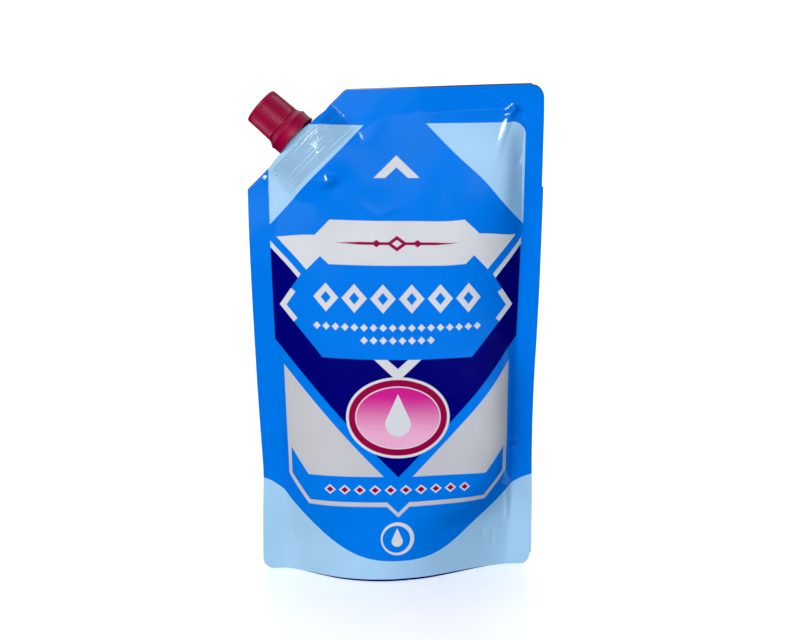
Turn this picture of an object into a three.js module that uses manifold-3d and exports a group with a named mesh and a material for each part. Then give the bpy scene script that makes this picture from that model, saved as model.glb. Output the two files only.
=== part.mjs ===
// Condensed milk pouch: a filled stand-up pouch of welded film with a folded base,
// a spout welded into its cut corner, a tamper band and a ribbed screw cap.
// Millimetres, +Z up, front towards -Y, origin on the floor under the middle of the pouch.
import * as THREE from "three";
import { mergeVertices } from "three/addons/utils/BufferGeometryUtils.js";
import Module from "manifold-3d";

// Film pouch
const filmWidth = 130; // flat width, weld to weld edges included
const leftHeight = 217.6; // the top edge is cut a little out of square
const rightHeight = 220.6;
const sideWeld = 8.8;
const topWeld = 10.4;
const weldHalf = 0.4; // half the thickness of two films welded together
const bellyDepth = 19.8; // half the thickness of the filled pouch
const bellyStart = 34; // height above which the pouch thins
const bellyEnd = 213;
const bellyLoss = 0.69; // share of the depth lost on the way up
const baseLean = 0.355; // the base bulges more to the left
const baseLeanTop = 94;
const baseCurl = 0.62; // flattens the corners of the base edge
const baseCurlTop = 50;
const topFade = 17; // distance over which the film opens below the top weld
// height, and the power of the front's curve towards its right weld: 2 is round, more is fuller
const shoulderPowers = [
  [20, 2],
  [68, 10],
  [111, 3.6],
  [150, 5],
  [180, 9],
];
const shoulderSwell = 0.75; // extra share of depth on the right, below the top weld
const shoulderSwellFoot = 125;
const shoulderSwellTop = 182;
const outlineShift = 0.33; // the left edge is drawn in further than the right
const baseCornerRadius = 4;
const topCornerRadius = 6;

// Folded base: front and back skirts carry the pouch, the fold arches up between them
const skirtWall = 1;
const skirtReach = 46; // half length of the hollow along the film
const baseWeldLow = 9.6; // height of the curved base weld in the middle
const baseWeldRise = 32.2;
const baseWeldSpan = 62.4;
const foldEndHeight = 42;
const foldSag = 18;
const foldSharpness = 1.4;

// Cut corner and spout
const cornerAngle = THREE.MathUtils.degToRad(45.5);
const cornerX = -42.3; // point of the cut edge on the spout's axis
const cornerZ = 196.3;
const cornerWeld = 15;
const cornerFade = 12;
const cornerLean = THREE.MathUtils.degToRad(17); // the corner leans back, and its spout with it
const leanStraight = 12; // reach from the cut edge that leans as one
const leanReach = 28; // reach at which the lean has died out
const spoutTurn = THREE.MathUtils.degToRad(4.8); // the spout is welded in a little out of square
const bootHalfLength = 19; // the boat-shaped foot welded between the films
const bootHalfWidth = 4.2;
const bootDepth = 11;
const bootRecess = 0.8;
const bootFilm = 0.6; // film over the foot
const neckRadius = 6;
const fitGap = 0.3;

// Tamper band and cap, measured along the spout's axis from the cut edge
const bandRadius = 10.5;
const bandLowRadius = 10.2;
const bandBase = 0.9;
const bandLedge = 5.3;
const bandTop = 8.2;
const capBase = 8.5;
const capTop = 22;
const capRadius = 8.55; // at the closed end
const capDraft = 0.35; // extra radius at the open end
const capRim = 0.8; // smooth rim at the closed end
const capDome = 0.4;
const capRibs = 40;
const capRibDepth = 0.4;

// Mesh steps
const columns = 38;
const weldColumns = 2;
const rows = 40;
const roundSteps = 48;
const arcStep = 1; // step along the film where its width is worked out

const filmBlue = 0x0a78e0;
const capRed = 0x96063f;
const spoutWhite = 0xd8dadb;

const wasm = await Module();
wasm.setup();

const smooth = THREE.MathUtils.smoothstep;
const innerHalf = filmWidth / 2 - sideWeld;
const cornerOut = new THREE.Vector2(-Math.sin(cornerAngle), Math.cos(cornerAngle));
const cornerAlong = new THREE.Vector2(Math.cos(cornerAngle), Math.sin(cornerAngle));

function topEdge(s) {
  return THREE.MathUtils.lerp(leftHeight, rightHeight, s / filmWidth + 0.5);
}

// Distance along the cut edge from the spout's axis, and inside that edge
function cutPlace(s, t) {
  const offset = new THREE.Vector2(s - cornerX, t - cornerZ);
  return { along: offset.dot(cornerAlong), inside: -offset.dot(cornerOut) };
}

// How far the film leans back near the cut corner
function leanBack(inside) {
  const curved = leanReach - leanStraight;
  const depth =
    inside < leanStraight
      ? leanStraight - inside + curved / 2
      : Math.max(leanReach - inside, 0) ** 2 / (2 * curved);
  return Math.tan(cornerLean) * depth;
}

// Half depth of the film over the boat-shaped foot of the spout
function bootSwell(s, t) {
  const { along, inside } = cutPlace(s, t);
  const share = along / (bootHalfLength + 2);
  if (Math.abs(share) > 1) return 0;
  const fade = 1 - smooth(inside, bootDepth, cornerWeld + cornerFade);
  const swell = (bootHalfWidth + bootFilm + fitGap) / Math.cos(cornerLean);
  return swell * (1 - share * share) * fade + weldHalf * share * share;
}

// The front stays full towards its right weld, then drops to it
function shoulder(across, t) {
  let power = shoulderPowers[0][1];
  for (let i = 1; i < shoulderPowers.length; i++) {
    const [foot, from] = shoulderPowers[i - 1];
    const [top, to] = shoulderPowers[i];
    power += (to - from) * smooth(t, foot, top);
  }
  const swell = smooth(t, shoulderSwellFoot, shoulderSwellTop) * smooth(across, 0.1, 0.7);
  return (1 - Math.pow(across, power)) * (1 + shoulderSwell * swell);
}

// Half depth of the pouch at a place on the flat film: s across, t up
function halfDepth(s, t, front = false) {
  const across = Math.min(Math.abs(s) / innerHalf, 1);
  const curl = 1 + baseCurl * (1 - smooth(t, 0, baseCurlTop));
  const round = front && s > 0 ? shoulder(across, t) : 1 - across * across;
  const lens = Math.pow(round, curl);
  const lean = 1 - (baseLean * (1 - smooth(t, 0, baseLeanTop)) * s) / innerHalf;
  const belly = bellyDepth * (1 - bellyLoss * smooth(t, bellyStart, bellyEnd));
  const belowTop = Math.max(topEdge(s) - topWeld - t, 0);
  const insideCorner = cutPlace(s, t).inside - cornerWeld;
  const fade =
    (1 - Math.exp(-belowTop / topFade)) * (1 - Math.exp(-Math.max(insideCorner, 0) / cornerFade));
  return Math.max(weldHalf, belly * lens * lean * fade, bootSwell(s, t));
}

// The film keeps its length, so a bulging row draws its edges in
function acrossAt(s, t) {
  if (s === 0) return 0;
  const steps = Math.max(1, Math.ceil(Math.abs(s) / arcStep));
  const ds = s / steps;
  let x = 0;
  for (let i = 0; i < steps; i++) {
    const slope = (halfDepth(ds * (i + 1), t) - halfDepth(ds * i, t)) / Math.abs(ds);
    x += ds * Math.sqrt(Math.max(1 - slope * slope, 0.1));
  }
  return x;
}

// Evenly stepped u from -1 to 1 to a place across the film, with whole columns in the welds
function filmColumn(u) {
  const weldShare = (2 * weldColumns) / columns;
  const inner = 1 - weldShare;
  if (Math.abs(u) <= inner) return (u / inner) * innerHalf;
  return Math.sign(u) * (innerHalf + ((Math.abs(u) - inner) / weldShare) * sideWeld);
}

function deform(geometry, place) {
  const position = geometry.getAttribute("position");
  const point = new THREE.Vector3();
  for (let i = 0; i < position.count; i++) {
    point.fromBufferAttribute(position, i);
    place(point);
    position.setXYZ(i, point.x, point.y, point.z);
  }
  return geometry;
}

function toSolid(geometry) {
  const bare = geometry.clone();
  bare.deleteAttribute("normal");
  bare.deleteAttribute("uv");
  const merged = mergeVertices(bare, 1e-4);
  const mesh = new wasm.Mesh({
    numProp: 3,
    vertProperties: new Float32Array(merged.getAttribute("position").array),
    triVerts: new Uint32Array(merged.index.array),
  });
  return new wasm.Manifold(mesh);
}

function toGeometry(solid) {
  const mesh = solid.getMesh();
  const geometry = new THREE.BufferGeometry();
  geometry.setAttribute("position", new THREE.BufferAttribute(mesh.vertProperties, 3));
  geometry.setIndex(new THREE.BufferAttribute(mesh.triVerts, 1));
  geometry.computeVertexNormals();
  return geometry;
}

function latheAlongZ(points, steps = roundSteps) {
  return new THREE.LatheGeometry(points, steps).rotateX(Math.PI / 2);
}

// Front and back film, filled, before anything is cut away
function filledFilm() {
  return deform(new THREE.BoxGeometry(2, 2, 1, columns, 1, rows), (point) => {
    const s = filmColumn(point.x);
    const t = (point.z + 0.5) * topEdge(s);
    const middle = leanBack(cutPlace(s, t).inside);
    point.set(acrossAt(s, t), middle + Math.sign(point.y) * halfDepth(s, t, point.y < 0), t);
  });
}

function baseWeld(s) {
  const share = Math.min(Math.abs(s) / baseWeldSpan, 1);
  return baseWeldLow + (baseWeldRise * (1 - Math.cos(Math.PI * Math.pow(share, 1.5)))) / 2;
}

// The space under the folded base, between the two skirts
function baseHollow() {
  const below = -2;
  return deform(new THREE.BoxGeometry(2, 2, 1, 24, 8, 8), (point) => {
    const s = point.x * skirtReach;
    const v = point.y;
    const fold = foldEndHeight - foldSag * (1 - point.x * point.x);
    const weld = baseWeld(s);
    const roof = weld + (fold - weld) * Math.pow(1 - Math.abs(v), foldSharpness);
    const z = THREE.MathUtils.lerp(below, roof, point.z + 0.5);
    const t = THREE.MathUtils.clamp(z, 0, weld);
    point.set(acrossAt(s, t), v * (halfDepth(s, t) - skirtWall), z);
  });
}

// What a round corner of the film leaves of a square one
function cornerScrap(x, z, radius, toX, toZ) {
  const over = 5;
  const shape = new THREE.Shape();
  shape.moveTo(over, over);
  shape.lineTo(-radius, over);
  shape.lineTo(-radius, 0);
  shape.absarc(-radius, -radius, radius, Math.PI / 2, 0, true);
  shape.lineTo(over, -radius);
  shape.closePath();
  const scrap = new THREE.ExtrudeGeometry(shape, { depth: 2 * over, curveSegments: 6 });
  scrap.translate(0, 0, -over);
  scrap.rotateX(Math.PI / 2);
  if (toX < 0) scrap.rotateZ(Math.PI);
  if (toZ < 0) scrap.rotateX(Math.PI);
  return scrap.translate(x, 0, z);
}

// Z along the spout's axis, X along the cut edge, Y towards the back
function cornerFrame(turn) {
  const frame = new THREE.Group();
  frame.position.set(cornerX, leanBack(0), cornerZ);
  frame.rotation.set(-cornerLean, -turn, 0, "YXZ");
  frame.updateMatrix();
  return frame;
}

const cutFrame = cornerFrame(cornerAngle);
const spoutFrame = cornerFrame(cornerAngle + spoutTurn);

function lensPrism(halfLength, halfWidth, low, high) {
  const radius = (halfLength ** 2 + halfWidth ** 2) / (2 * halfWidth);
  const half = Math.asin(halfLength / radius);
  const shape = new THREE.Shape();
  shape.absarc(0, halfWidth - radius, radius, Math.PI / 2 - half, Math.PI / 2 + half, false);
  shape.absarc(0, radius - halfWidth, radius, -Math.PI / 2 - half, -Math.PI / 2 + half, false);
  const prism = new THREE.ExtrudeGeometry(shape, {
    depth: high - low,
    curveSegments: 14,
    bevelEnabled: false,
  });
  return prism.translate(0, 0, low);
}

function pouch() {
  const cutOff = new THREE.BoxGeometry(90, 60, 40).translate(0, 0, 20);
  const socket = lensPrism(bootHalfLength + fitGap, bootHalfWidth + fitGap, -bootDepth - fitGap, 1);
  cutOff.applyMatrix4(cutFrame.matrix);
  socket.applyMatrix4(spoutFrame.matrix);
  const half = filmWidth / 2;
  const scraps = [
    cornerScrap(acrossAt(half, rightHeight), topEdge(half), topCornerRadius, 1, 1),
    cornerScrap(acrossAt(half, 0), 0, baseCornerRadius, 1, -1),
    cornerScrap(acrossAt(-half, 0), 0, baseCornerRadius, -1, -1),
  ];
  let solid = toSolid(filledFilm());
  for (const scrap of [baseHollow(), cutOff, socket, ...scraps]) {
    solid = solid.subtract(toSolid(scrap));
  }
  return toGeometry(solid);
}

function spout() {
  const boot = lensPrism(bootHalfLength, bootHalfWidth, -bootDepth, -bootRecess);
  const stem = bootHalfWidth - fitGap;
  const profile = [
    [0, -2 * bootRecess],
    [stem, -2 * bootRecess],
    [stem, fitGap],
    [neckRadius, fitGap],
    [neckRadius, bandTop],
    [0, bandTop],
  ];
  const neck = latheAlongZ(profile.map(([r, z]) => new THREE.Vector2(r, z)));
  return toGeometry(toSolid(boot).add(toSolid(neck)));
}

function tamperBand() {
  const bore = neckRadius + 2 * fitGap;
  const shoulder = capRadius + capDraft;
  const profile = [
    [bore, bandBase],
    [bandLowRadius - 0.3, bandBase],
    [bandLowRadius, bandBase + 0.3],
    [bandLowRadius, bandLedge],
    [bandRadius, bandLedge],
    [bandRadius, bandLedge + 0.4],
    [(bandRadius + shoulder) / 2 - 0.2, bandTop - 1.2],
    [shoulder, bandTop],
    [bore, bandTop],
    [bore, bandBase],
  ];
  return latheAlongZ(profile.map(([r, z]) => new THREE.Vector2(r, z)));
}

function cap() {
  const ribbedTop = capTop - capRim;
  const shape = new THREE.Shape();
  const pitch = (2 * Math.PI) / capRibs;
  for (let i = 0; i < capRibs; i++) {
    for (const [share, radius] of [
      [0.0, capRadius],
      [0.45, capRadius],
      [0.6, capRadius - capRibDepth],
      [0.85, capRadius - capRibDepth],
    ]) {
      const angle = (i + share) * pitch;
      const place = [radius * Math.cos(angle), radius * Math.sin(angle)];
      if (i === 0 && share === 0) shape.moveTo(...place);
      else shape.lineTo(...place);
    }
  }
  shape.closePath();
  const skirt = new THREE.ExtrudeGeometry(shape, { depth: ribbedTop - capBase, bevelEnabled: false });
  deform(skirt, (point) => {
    const open = 1 - point.z / (ribbedTop - capBase);
    const grow = 1 + (capDraft * open) / capRadius;
    point.set(point.x * grow, point.y * grow, point.z + capBase);
  });
  const rimRadius = capRadius - 0.1;
  const rimFoot = ribbedTop - 0.2;
  const rimProfile = [new THREE.Vector2(0, rimFoot), new THREE.Vector2(rimRadius, rimFoot)];
  const rimSteps = 5;
  for (let i = 0; i <= rimSteps; i++) {
    const turn = (i / rimSteps) * (Math.PI / 2);
    const radius = rimRadius - capRim * (1 - Math.cos(turn));
    rimProfile.push(new THREE.Vector2(radius, ribbedTop + capRim * Math.sin(turn)));
  }
  rimProfile.push(new THREE.Vector2(0, capTop + capDome));
  const rim = latheAlongZ(rimProfile, 2 * capRibs);
  return toGeometry(toSolid(skirt).add(toSolid(rim)));
}

const film = new THREE.MeshStandardMaterial({ color: filmBlue, roughness: 0.3, metalness: 0 });
const redPlastic = new THREE.MeshStandardMaterial({ color: capRed, roughness: 0.35, metalness: 0 });
const whitePlastic = new THREE.MeshStandardMaterial({ color: spoutWhite, roughness: 0.4, metalness: 0 });

function piece(name, geometry, material) {
  const mesh = new THREE.Mesh(geometry, material);
  mesh.name = name;
  return mesh;
}

const model = new THREE.Group();
model.position.x = -outlineShift;
model.add(piece("pouch", pouch(), film));
spoutFrame.add(piece("spout", spout(), whitePlastic));
spoutFrame.add(piece("tamper_band", tamperBand(), redPlastic.clone()));
spoutFrame.add(piece("cap", cap(), redPlastic));
model.add(spoutFrame);

export default model;
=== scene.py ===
import math
import bmesh
import bpy
from mathutils import Matrix, Vector, noise


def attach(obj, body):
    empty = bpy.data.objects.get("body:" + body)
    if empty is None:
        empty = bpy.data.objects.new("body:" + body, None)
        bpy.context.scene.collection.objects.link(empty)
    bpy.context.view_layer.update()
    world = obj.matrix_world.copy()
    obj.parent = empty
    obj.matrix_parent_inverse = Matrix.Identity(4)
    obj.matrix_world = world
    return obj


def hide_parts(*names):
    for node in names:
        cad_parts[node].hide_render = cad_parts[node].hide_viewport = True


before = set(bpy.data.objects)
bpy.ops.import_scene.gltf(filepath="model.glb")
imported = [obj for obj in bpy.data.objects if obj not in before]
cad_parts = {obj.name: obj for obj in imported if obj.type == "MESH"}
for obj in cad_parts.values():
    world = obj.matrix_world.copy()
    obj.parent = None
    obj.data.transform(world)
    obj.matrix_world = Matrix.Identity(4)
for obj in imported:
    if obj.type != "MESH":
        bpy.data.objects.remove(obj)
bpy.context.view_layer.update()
mm = 0.001
scene = bpy.context.scene
print("frame:", sorted(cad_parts))


def smooth(x, low, high):
    k = min(max((x - low) / (high - low), 0.0), 1.0)
    return k * k * (3 - 2 * k)


def mixed(a, b, k):
    return a + (b - a) * k


def bell(x, width):
    return math.exp(-((x / width) ** 2))


def between(x, rise, fall):
    return smooth(x, *rise) * (1 - smooth(x, *fall))


def meshFrom(name, bm):
    mesh = bpy.data.meshes.new(name)
    bm.to_mesh(mesh)
    bm.free()
    return mesh


def addObject(name, data):
    added = bpy.data.objects.new(name, data)
    scene.collection.objects.link(added)
    return added


def aim(thing, place, target):
    thing.location = place
    thing.rotation_euler = (Vector(target) - Vector(place)).to_track_quat("-Z", "Y").to_euler()


def finishPiece(name, bm, node, materials, sharpDeg):
    mesh = meshFrom(name, bm)
    for material in materials:
        mesh.materials.append(material)
    mesh.shade_smooth()
    mesh.set_sharp_from_angle(angle=math.radians(sharpDeg))
    piece = addObject(name, mesh)
    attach(piece, "root")
    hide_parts(node)
    print(name, len(mesh.polygons), "faces")


# node helpers: the tree is the one that their sockets belong to, and places are in millimetres

def feed(socket, value):
    if isinstance(value, bpy.types.NodeSocket):
        socket.id_data.links.new(value, socket)
    else:
        socket.default_value = value


def feedAll(node, values):
    for name, value in values.items():
        feed(node.inputs[name], value)


def treeOf(values):
    return next(v.id_data for v in values if isinstance(v, bpy.types.NodeSocket))


def newNode(kind, *values):
    node = treeOf(values).nodes.new("ShaderNode" + kind)
    for socket, value in zip(node.inputs, values):
        feed(socket, value)
    return node


def calc(operation, *values, clamp=False):
    node = newNode("Math", *values)
    node.operation = operation
    node.use_clamp = clamp
    return node.outputs[0]


def plus(a, b):
    return calc("ADD", a, b)


def minus(a, b):
    return calc("SUBTRACT", a, b)


def times(a, b):
    return calc("MULTIPLY", a, b)


def apart(a, b):
    return calc("ABSOLUTE", minus(a, b))


def calcVector(operation, *values, out="Vector"):
    node = newNode("VectorMath", *values)
    node.operation = operation
    return node.outputs[out]


def dotted(place, x, y):
    return calcVector("DOT_PRODUCT", place, (x, y, 0), out="Value")


def lowest(first, *others):
    for other in others:
        first = calc("MINIMUM", first, other)
    return first


def highest(first, *others):
    for other in others:
        first = calc("MAXIMUM", first, other)
    return first


def leftOf(place, p, q):
    # millimetres to the left of the line from p to q
    run = Vector(q) - Vector(p)
    across = Vector((-run.y, run.x)).normalized()
    return minus(dotted(place, across.x, across.y), across.dot(Vector(p)))


def convexOpen(place, *lines):
    return lowest(*[leftOf(place, a, b) for a, b in lines])


def convex(place, *points):
    # corners given anticlockwise
    ring = list(points) + [points[0]]
    return convexOpen(place, *zip(ring, ring[1:]))


def splitXYZ(vector):
    return tuple(newNode("SeparateXYZ", vector).outputs)


def joinXYZ(x, y, z=0.0):
    return newNode("CombineXYZ", x, y, z).outputs[0]


def ramp(value, low, high, toLow=0.0, toHigh=1.0):
    node = newNode("MapRange", value, low, high, toLow, toHigh)
    node.interpolation_type = "SMOOTHSTEP"
    return node.outputs[0]


def fall(value, low, high):
    return ramp(value, low, high, 1.0, 0.0)


def mixColours(share, under, over, blend="MIX"):
    node = treeOf((share, under, over)).nodes.new("ShaderNodeMix")
    node.data_type = "RGBA"
    node.blend_type = blend
    for index, value in ((0, share), (6, under), (7, over)):
        feed(node.inputs[index], value)
    return node.outputs[2]


def paint(under, ink, inside, soft=0.15):
    # an ink is laid wherever inside is positive
    return mixColours(ramp(inside, -soft, soft), under, ink)


def ellipse(place, centre, rx, ry):
    moved = calcVector("SUBTRACT", place, (*centre, 0))
    size = calcVector("LENGTH", calcVector("DIVIDE", moved, (rx, ry, 1)), out="Value")
    return times(minus(1.0, size), min(rx, ry))


def lozenge(place, centre, rx, ry):
    moved = calcVector("SUBTRACT", place, (*centre, 0))
    reach = dotted(calcVector("ABSOLUTE", moved), 1 / rx, 1 / ry)
    return times(minus(1.0, reach), rx * ry / math.hypot(rx, ry))


def drop(place, centre, radius, tip):
    # round below, pointed above
    x, y = centre
    lean = math.acos(radius / tip)
    touch = (x + radius * math.sin(lean), y + radius * math.cos(lean))
    other = (x - radius * math.sin(lean), touch[1])
    point = convex(place, other, (x, y), touch, (x, y + tip))
    return highest(ellipse(place, centre, radius, radius), point)


def linear(red, green, blue):
    def one(c):
        c = c / 255
        return c / 12.92 if c <= 0.04045 else ((c + 0.055) / 1.055) ** 2.4
    return (one(red), one(green), one(blue), 1.0)


def makeGroup(name, outputs, **inputs):
    # a group reads a place and some values, and puts out values
    group = bpy.data.node_groups.new(name, "ShaderNodeTree")
    group.interface.new_socket("Place", in_out="INPUT", socket_type="NodeSocketVector")
    for label, value in inputs.items():
        socket = group.interface.new_socket(label, in_out="INPUT", socket_type="NodeSocketFloat")
        socket.default_value = value
    for label in outputs:
        group.interface.new_socket(label, in_out="OUTPUT", socket_type="NodeSocketFloat")
    return group, group.nodes.new("NodeGroupInput"), group.nodes.new("NodeGroupOutput")


def grain(place, scale, detail=2.0, rough=0.5):
    return newNode("TexNoise", place, 0.0, scale, detail, rough).outputs["Fac"]


def newMaterial(name):
    material = bpy.data.materials.new(name)
    material.use_nodes = True
    tree = material.node_tree
    return material, tree, tree.nodes["Principled BSDF"]


# film surface shared by every face of the pouch: gloss, haze and fine unevenness

filmSkin = {
    "gloss": 0.11,
    "haze": 0.04,
    "specular": 0.35,
    "bump": 0.35,
    "plainHaze": 0.12,
    "plainBump": 0.3,
    "bumpDepth": 0.0003,
    "cloudScale": 0.045,
    "cloudTone": (0.97, 1.03),
    "handlingScale": 0.35,
    "peelScale": 1.3,
    "peel": 0.06,
    "waveScale": 0.12,
    "wave": 0.9,
}


def filmSurfaceGroup():
    skin = filmSkin
    group, start, end = makeGroup("filmSurface", ("Tone", "Roughness", "Height"), Gloss=0.24, Haze=0.1)
    place = start.outputs["Place"]
    cloudy = grain(place, skin["cloudScale"], 3.0)
    handling = grain(place, skin["handlingScale"], 4.0, 0.6)
    peel = grain(place, skin["peelScale"], 2.0)
    waves = grain(place, skin["waveScale"], 1.0)
    haze = times(minus(plus(cloudy, handling), 1.0), start.outputs["Haze"])
    height = plus(times(peel, skin["peel"]), times(waves, skin["wave"]))
    tone = ramp(cloudy, 0.25, 0.75, *skin["cloudTone"])
    rough = calc("ADD", start.outputs["Gloss"], haze, clamp=True)
    feedAll(end, {"Tone": tone, "Roughness": rough, "Height": height})
    return group


# fine bars and puckers that the jaws press into the cut corner, with painted shade and painted sheen on the
# bars and painted light and shade on short wrinkles

pressAndShade = {
    "from": (0.8, 1.8),  # how far inside the cut edge
    "to": (13.5, 15.5),
    "middle": 2.0,  # along the cut edge, from the spout's axis
    "reach": (14.0, 24.0),
    "pitch": 1.9,
    "stretch": 0.12,  # the bars run along the edge
    "wander": 0.9,
    "wanderScale": 0.3,
    "patchScale": 0.45,
    "patches": (0.38, 0.62),
    "barEdge": (0.34, 0.5),
    "bar": 0.3,
    "barShadeAndSheen": (-0.24, 0.1),
    "pucker": 0.3,
    "puckerScale": 0.33,
    "puckerWidth": 0.045,
    "puckerTo": (5.0, 10.0),
    "puckerAlong": (-27.0, -18.0),
    "crumple": 0.5,
    "crumpleAt": -17.6,
    "crumpleReach": (1.0, 3.8),
    "crumpleTo": (10.0, 13.5),
    "crumpleScale": 0.5,
    "crumpleWidth": 0.04,
    "crumpleLightAndShade": ((0.46, -0.3), (0.52, 0.22)),
}


def weldPressAndShadeGroup():
    p = pressAndShade
    group, start, end = makeGroup("weldPressAndShade", ("Height", "Tone"))
    place = start.outputs["Place"]
    corner = Vector((spoutCorner["s"], spoutCorner["t"]))
    inside = plus(dotted(place, -cutOut.x, -cutOut.y), cutOut.dot(corner))
    along = minus(dotted(place, cutAlong.x, cutAlong.y), cutAlong.dot(corner))
    fromEdge = ramp(inside, *p["from"])
    inWeld = times(fromEdge, fall(inside, *p["to"]))
    inWeld = times(inWeld, fall(apart(along, p["middle"]), *p["reach"]))
    # bars along the edge, broken into patches
    drawn = joinXYZ(times(along, p["stretch"]), inside)
    wander = times(grain(drawn, p["wanderScale"], 1.0), p["wander"])
    phase = plus(calc("DIVIDE", inside, p["pitch"]), wander)
    crest = apart(calc("FRACT", phase), 0.5)
    patches = ramp(grain(drawn, p["patchScale"], 2.0), *p["patches"])
    bars = times(ramp(crest, *p["barEdge"]), patches)
    # painted shade: the weld is darkened between the bars, and painted sheen lightens the bars' crests
    tone = times(ramp(bars, 0.0, 0.8, *p["barShadeAndSheen"]), inWeld)
    # puckers beside the collar
    ridges = apart(grain(place, p["puckerScale"], 1.0), 0.5)
    ridges = fall(ridges, 0.0, p["puckerWidth"])
    nearCollar = fall(inside, *p["puckerTo"])
    nearCollar = times(nearCollar, ramp(along, *p["puckerAlong"], 0.4, 1.0))
    puckers = times(times(ridges, nearCollar), p["pucker"])
    height = times(plus(times(bars, p["bar"]), puckers), inWeld)
    # short wrinkles where the spout's foot ends: painted highlight and painted shade on paired crests beside
    # each wrinkle, with a small bump
    crumpled = fall(apart(along, p["crumpleAt"]), *p["crumpleReach"])
    crumpled = times(crumpled, times(fromEdge, fall(inside, *p["crumpleTo"])))
    wrinkles = grain(place, p["crumpleScale"], 0.0)
    for level, strength in p["crumpleLightAndShade"]:
        crest = fall(apart(wrinkles, level), 0.0, p["crumpleWidth"])
        crest = times(crest, crumpled)
        tone = plus(tone, times(crest, strength))
    height = plus(height, times(crest, p["crumple"]))
    feedAll(end, {"Height": height, "Tone": plus(tone, 1.0)})
    return group


def surfaceFrom(shared, place, **values):
    node = place.id_data.nodes.new("ShaderNodeGroup")
    node.node_tree = shared
    feedAll(node, {"Place": place, **values})
    return node.outputs


def dress(shader, colour, tone, rough, height, bump, depth):
    node = shader.id_data.nodes.new("ShaderNodeBump")
    feedAll(node, {"Strength": bump, "Distance": depth, "Height": height})
    colour = mixColours(1.0, colour, joinXYZ(tone, tone, tone), "MULTIPLY")
    feedAll(shader, {"Base Color": colour, "Roughness": rough, "Normal": node.outputs[0]})


# pouch film: flat millimetres s across and t up

film = {
    "width": 130.0,
    "shift": -0.33,
    "leftHeight": 217.6,
    "rightHeight": 220.6,
    "sideWeld": 8.8,
    "topWeld": 10.4,
    "weldHalf": 0.22,
    "belly": 19.8,
    "bellyFrom": 34.0,
    "bellyTo": 213.0,
    "bellyLoss": 0.69,
    "lean": 0.355,
    "leanTo": 94.0,
    "curl": 0.62,
    "curlTo": 50.0,
    "topFade": 17.0,
    # height, and the power of the front's curve towards its right weld: 2 is round, more is fuller
    "shoulder": ((20.0, 2.0), (68.0, 10.0), (111.0, 3.6), (150.0, 5.0), (180.0, 9.0)),
    "shoulderSwell": 0.75,
    "shoulderSwellFrom": (125.0, 182.0),
    "leanDrop": 0.2,  # the top edge is drawn down where the film leans back
    "backProud": 0.5,  # the back film stands a little over the front one
    "topCorner": 6.0,
    "baseCorner": 4.5,
    "dieStep": 0.6,  # the corner die bites in a little
    "dieEdge": (60.0, 65.0),
    "dieStepFrom": 174.5,
    "baseDieStep": 0.8,
    "baseDieStepTo": 5.6,
    "edgeWidth": 5.0,  # outermost film, with columns crowded towards the edge
    "columns": 164,
    "columnStops": ((0.0, 0.0), (0.3, 25.0), (0.9, 60.0)),
    "rowStops": ((0, 0.0), (40, 0.23), (96, 0.43), (146, 0.73), (242, 1.0)),
    "baseSteps": 28,
    "topSteps": 8,
    "xStep": 0.5,
}

spoutCorner = {
    "angle": 45.5,
    "s": -42.3,
    "t": 196.3,
    "lean": 17.0,  # the corner leans back with its spout
    "leanStraight": 12.0,
    "leanReach": 28.0,
    "turn": 4.8,  # the spout is welded in a little out of square
    "weld": 15.0,
    "fade": 12.0,
    "footLength": 19.0,
    "footWidth": 4.2,
    "footDepth": 11.0,
    "footFilm": 0.55,
    "footFade": 45.0,
    "pocket": 3.2,  # how far the foot sits below the film edge
}

baseFold = {
    "wall": 0.6,
    "reach": 44.0,
    "ends": (43.0, 46.5),
    "hemSteps": 2,
    "roofSteps": 12,
    "weldLow": 9.6,
    "weldRise": 32.2,
    "weldSpan": 62.4,
    "endHeight": 42.0,
    "sag": 18.0,
    "sharpness": 1.4,
}

innerHalf = film["width"] / 2 - film["sideWeld"]
cutTurn = math.radians(spoutCorner["angle"])
cutLean = math.radians(spoutCorner["lean"])
cutOut = Vector((-math.sin(cutTurn), math.cos(cutTurn)))
cutAlong = Vector((math.cos(cutTurn), math.sin(cutTurn)))


def cutPlace(s, t):
    # along the cut edge from the spout's axis, and how far inside it
    offset = Vector((s - spoutCorner["s"], t - spoutCorner["t"]))
    return offset.dot(cutAlong), -offset.dot(cutOut)


def leanBack(inside):
    # how far the film leans back, and at what angle
    straight, reach = spoutCorner["leanStraight"], spoutCorner["leanReach"]
    if inside < straight:
        depth, slope = straight - inside + (reach - straight) / 2, 1.0
    else:
        slope = max(reach - inside, 0.0) / (reach - straight)
        depth = slope * slope * (reach - straight) / 2
    return math.tan(cutLean) * depth, math.atan(math.tan(cutLean) * slope)


def topEdge(s):
    return mixed(film["leftHeight"], film["rightHeight"], s / film["width"] + 0.5)


def footSwell(along, inside):
    k = along / (spoutCorner["footLength"] + 2)
    if abs(k) >= 1:
        return 0.0
    fade = 1 - smooth(inside, spoutCorner["footDepth"], spoutCorner["footFade"])
    return (spoutCorner["footWidth"] + spoutCorner["footFilm"]) * (1 - k * k) * fade


def shoulder(q, t):
    stops = film["shoulder"]
    power = stops[0][1]
    for (t0, n0), (t1, n1) in zip(stops, stops[1:]):
        power += (n1 - n0) * smooth(t, t0, t1)
    swell = film["shoulderSwell"] * smooth(t, *film["shoulderSwellFrom"]) * smooth(q, 0.1, 0.7)
    return (1 - q ** power) * (1 + swell)


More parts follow.
